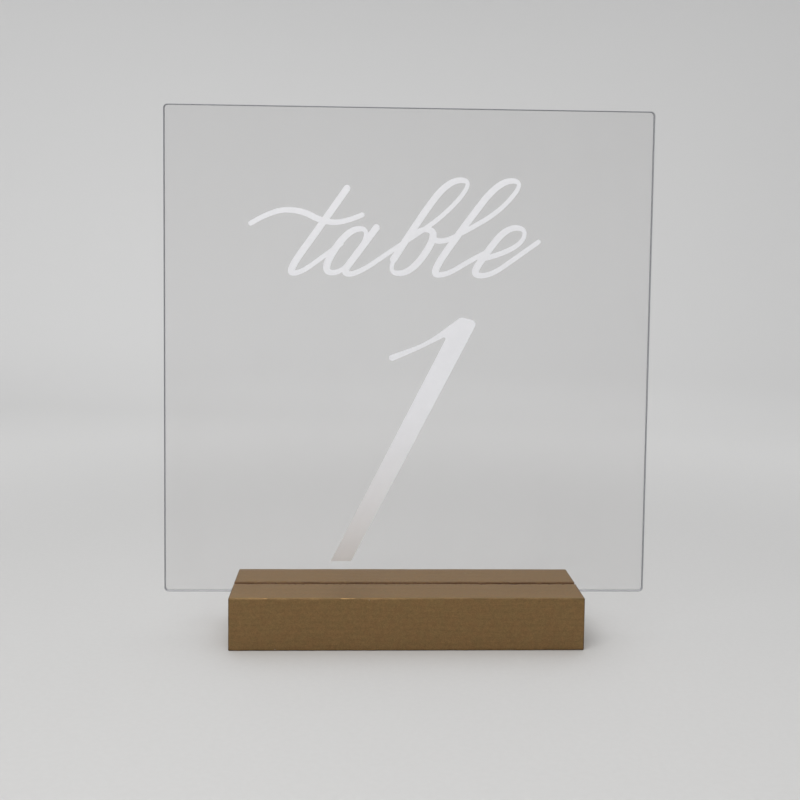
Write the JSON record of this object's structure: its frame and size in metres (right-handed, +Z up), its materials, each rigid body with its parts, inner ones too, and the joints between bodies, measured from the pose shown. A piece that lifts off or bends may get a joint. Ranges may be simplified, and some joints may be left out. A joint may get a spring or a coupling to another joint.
{
  "type": "table number holder",
  "caption": "Table number holder: a gold painted timber block with a kerf along its top, holding a clear sheet that carries a word and a numeral in white vinyl.",
  "frame": {"origin": "centre of the block's underside, where it rests on the table", "axes": "+X along the block, -Y towards the reader (the lettered side), +Z up"},
  "size_m": [0.1778, 0.0382, 0.1938],
  "materials": {
    "gold_painted_wood": "satin metallic gold paint over smooth timber",
    "clear_acrylic": "clear, polished both sides, with sawn and lightly broken edges",
    "white_vinyl": "matt white adhesive film"
  },
  "bodies": {
    "base": {"base_block": "gold_painted_wood"},
    "sheet": {"acrylic_sheet": "clear_acrylic", "word_decal": "white_vinyl", "numeral_decal": "white_vinyl"}
  },
  "joints": [
    {"name": "sheet_lift", "type": "slide", "parent": "base", "child": "sheet", "axis": [0, 0, 1], "range_m": [0, 0.025]}
  ]
}
